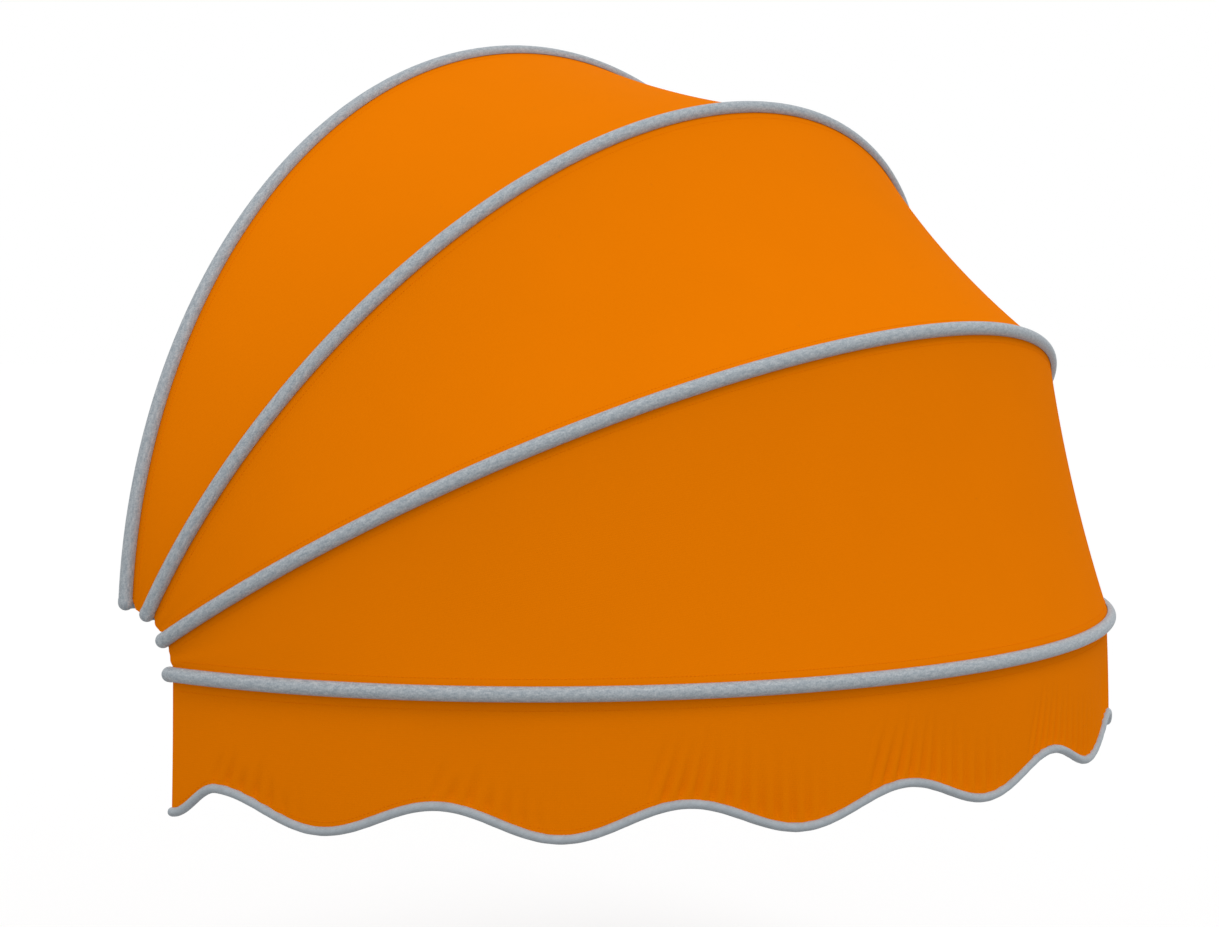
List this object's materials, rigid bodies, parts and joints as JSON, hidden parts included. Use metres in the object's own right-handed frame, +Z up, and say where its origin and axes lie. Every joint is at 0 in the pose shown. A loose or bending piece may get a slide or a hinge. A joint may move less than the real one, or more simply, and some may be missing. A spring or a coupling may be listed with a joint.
{
  "type": "window awning",
  "caption": "Round folding canopy awning: a wall hoop and hinged tube hoops fan out with cloth panels between them and a wavy valance below the front hoop.",
  "frame": {"origin": "on the wall, at the middle of the back face of the top wall clip", "axes": "+X along the wall, +Y into the wall, +Z up; the canopy stands out towards -Y"},
  "size_m": [1.5128, 0.8021, 0.9195],
  "materials": {
    "tube": "satin",
    "casting": "satin",
    "cloth": "woven",
    "edging": "satin",
    "steel": "brushed",
    "nylon": "matte"
  },
  "bodies": {
    "fixed_frame": {"wall_hoop": "tube", "corner_bracket_left": "casting", "corner_bracket_right": "casting", "wall_clip_top": "casting", "wall_clip_left": "casting", "wall_clip_right": "casting", "clamp_screw_top": "steel", "clamp_screw_left": "steel", "clamp_screw_right": "steel", "wall_screw_left_lower": "steel", "wall_screw_left_upper": "steel", "wall_screw_right_lower": "steel", "wall_screw_right_upper": "steel", "wall_screw_clip_top": "steel", "wall_screw_clip_left": "steel", "wall_screw_clip_right": "steel", "tube_screw_wall_hoop_left": "steel", "tube_screw_wall_hoop_right": "steel", "upper_panel": "cloth"},
    "second_hoop": {"hoop_2": "tube", "link_hoop_2_left": "casting", "link_hoop_2_right": "casting", "pivot_bolt_hoop_2_left": "steel", "pivot_bolt_hoop_2_right": "steel", "pivot_washer_hoop_2_left": "nylon", "pivot_washer_hoop_2_right": "nylon", "tube_screw_hoop_2_left": "steel", "tube_screw_hoop_2_right": "steel", "middle_panel": "cloth"},
    "third_hoop": {"hoop_3": "tube", "link_hoop_3_left": "casting", "link_hoop_3_right": "casting", "pivot_bolt_hoop_3_left": "steel", "pivot_bolt_hoop_3_right": "steel", "pivot_washer_hoop_3_left": "nylon", "pivot_washer_hoop_3_right": "nylon", "tube_screw_hoop_3_left": "steel", "tube_screw_hoop_3_right": "steel", "front_panel": "cloth"},
    "front_frame": {"front_hoop": "tube", "link_front_hoop_left": "casting", "link_front_hoop_right": "casting", "pivot_bolt_front_hoop_left": "steel", "pivot_bolt_front_hoop_right": "steel", "pivot_washer_front_hoop_left": "nylon", "pivot_washer_front_hoop_right": "nylon", "tube_screw_front_hoop_left": "steel", "tube_screw_front_hoop_right": "steel", "valance": "cloth", "valance_edging": "edging"}
  },
  "joints": [
    {"name": "fold_hoop_2", "type": "hinge", "parent": "fixed_frame", "child": "second_hoop", "pos_m": [0, -0.0505, -0.67028], "axis": [-1, 0, 0], "range_deg": [0, 27], "deforming": ["upper_panel"]},
    {"name": "fold_hoop_3", "type": "hinge", "parent": "second_hoop", "child": "third_hoop", "pos_m": [0, -0.07722, -0.697], "axis": [-1, 0, 0], "range_deg": [0, 27], "deforming": ["middle_panel"]},
    {"name": "fold_front_hoop", "type": "hinge", "parent": "third_hoop", "child": "front_frame", "pos_m": [0, -0.087, -0.7335], "axis": [-1, 0, 0], "range_deg": [0, 27], "deforming": ["front_panel", "valance", "valance_edging"]}
  ],
  "couplings": [
    {"joint": "fold_hoop_3", "follows": "fold_hoop_2", "ratio": 1},
    {"joint": "fold_front_hoop", "follows": "fold_hoop_2", "ratio": 1}
  ]
}
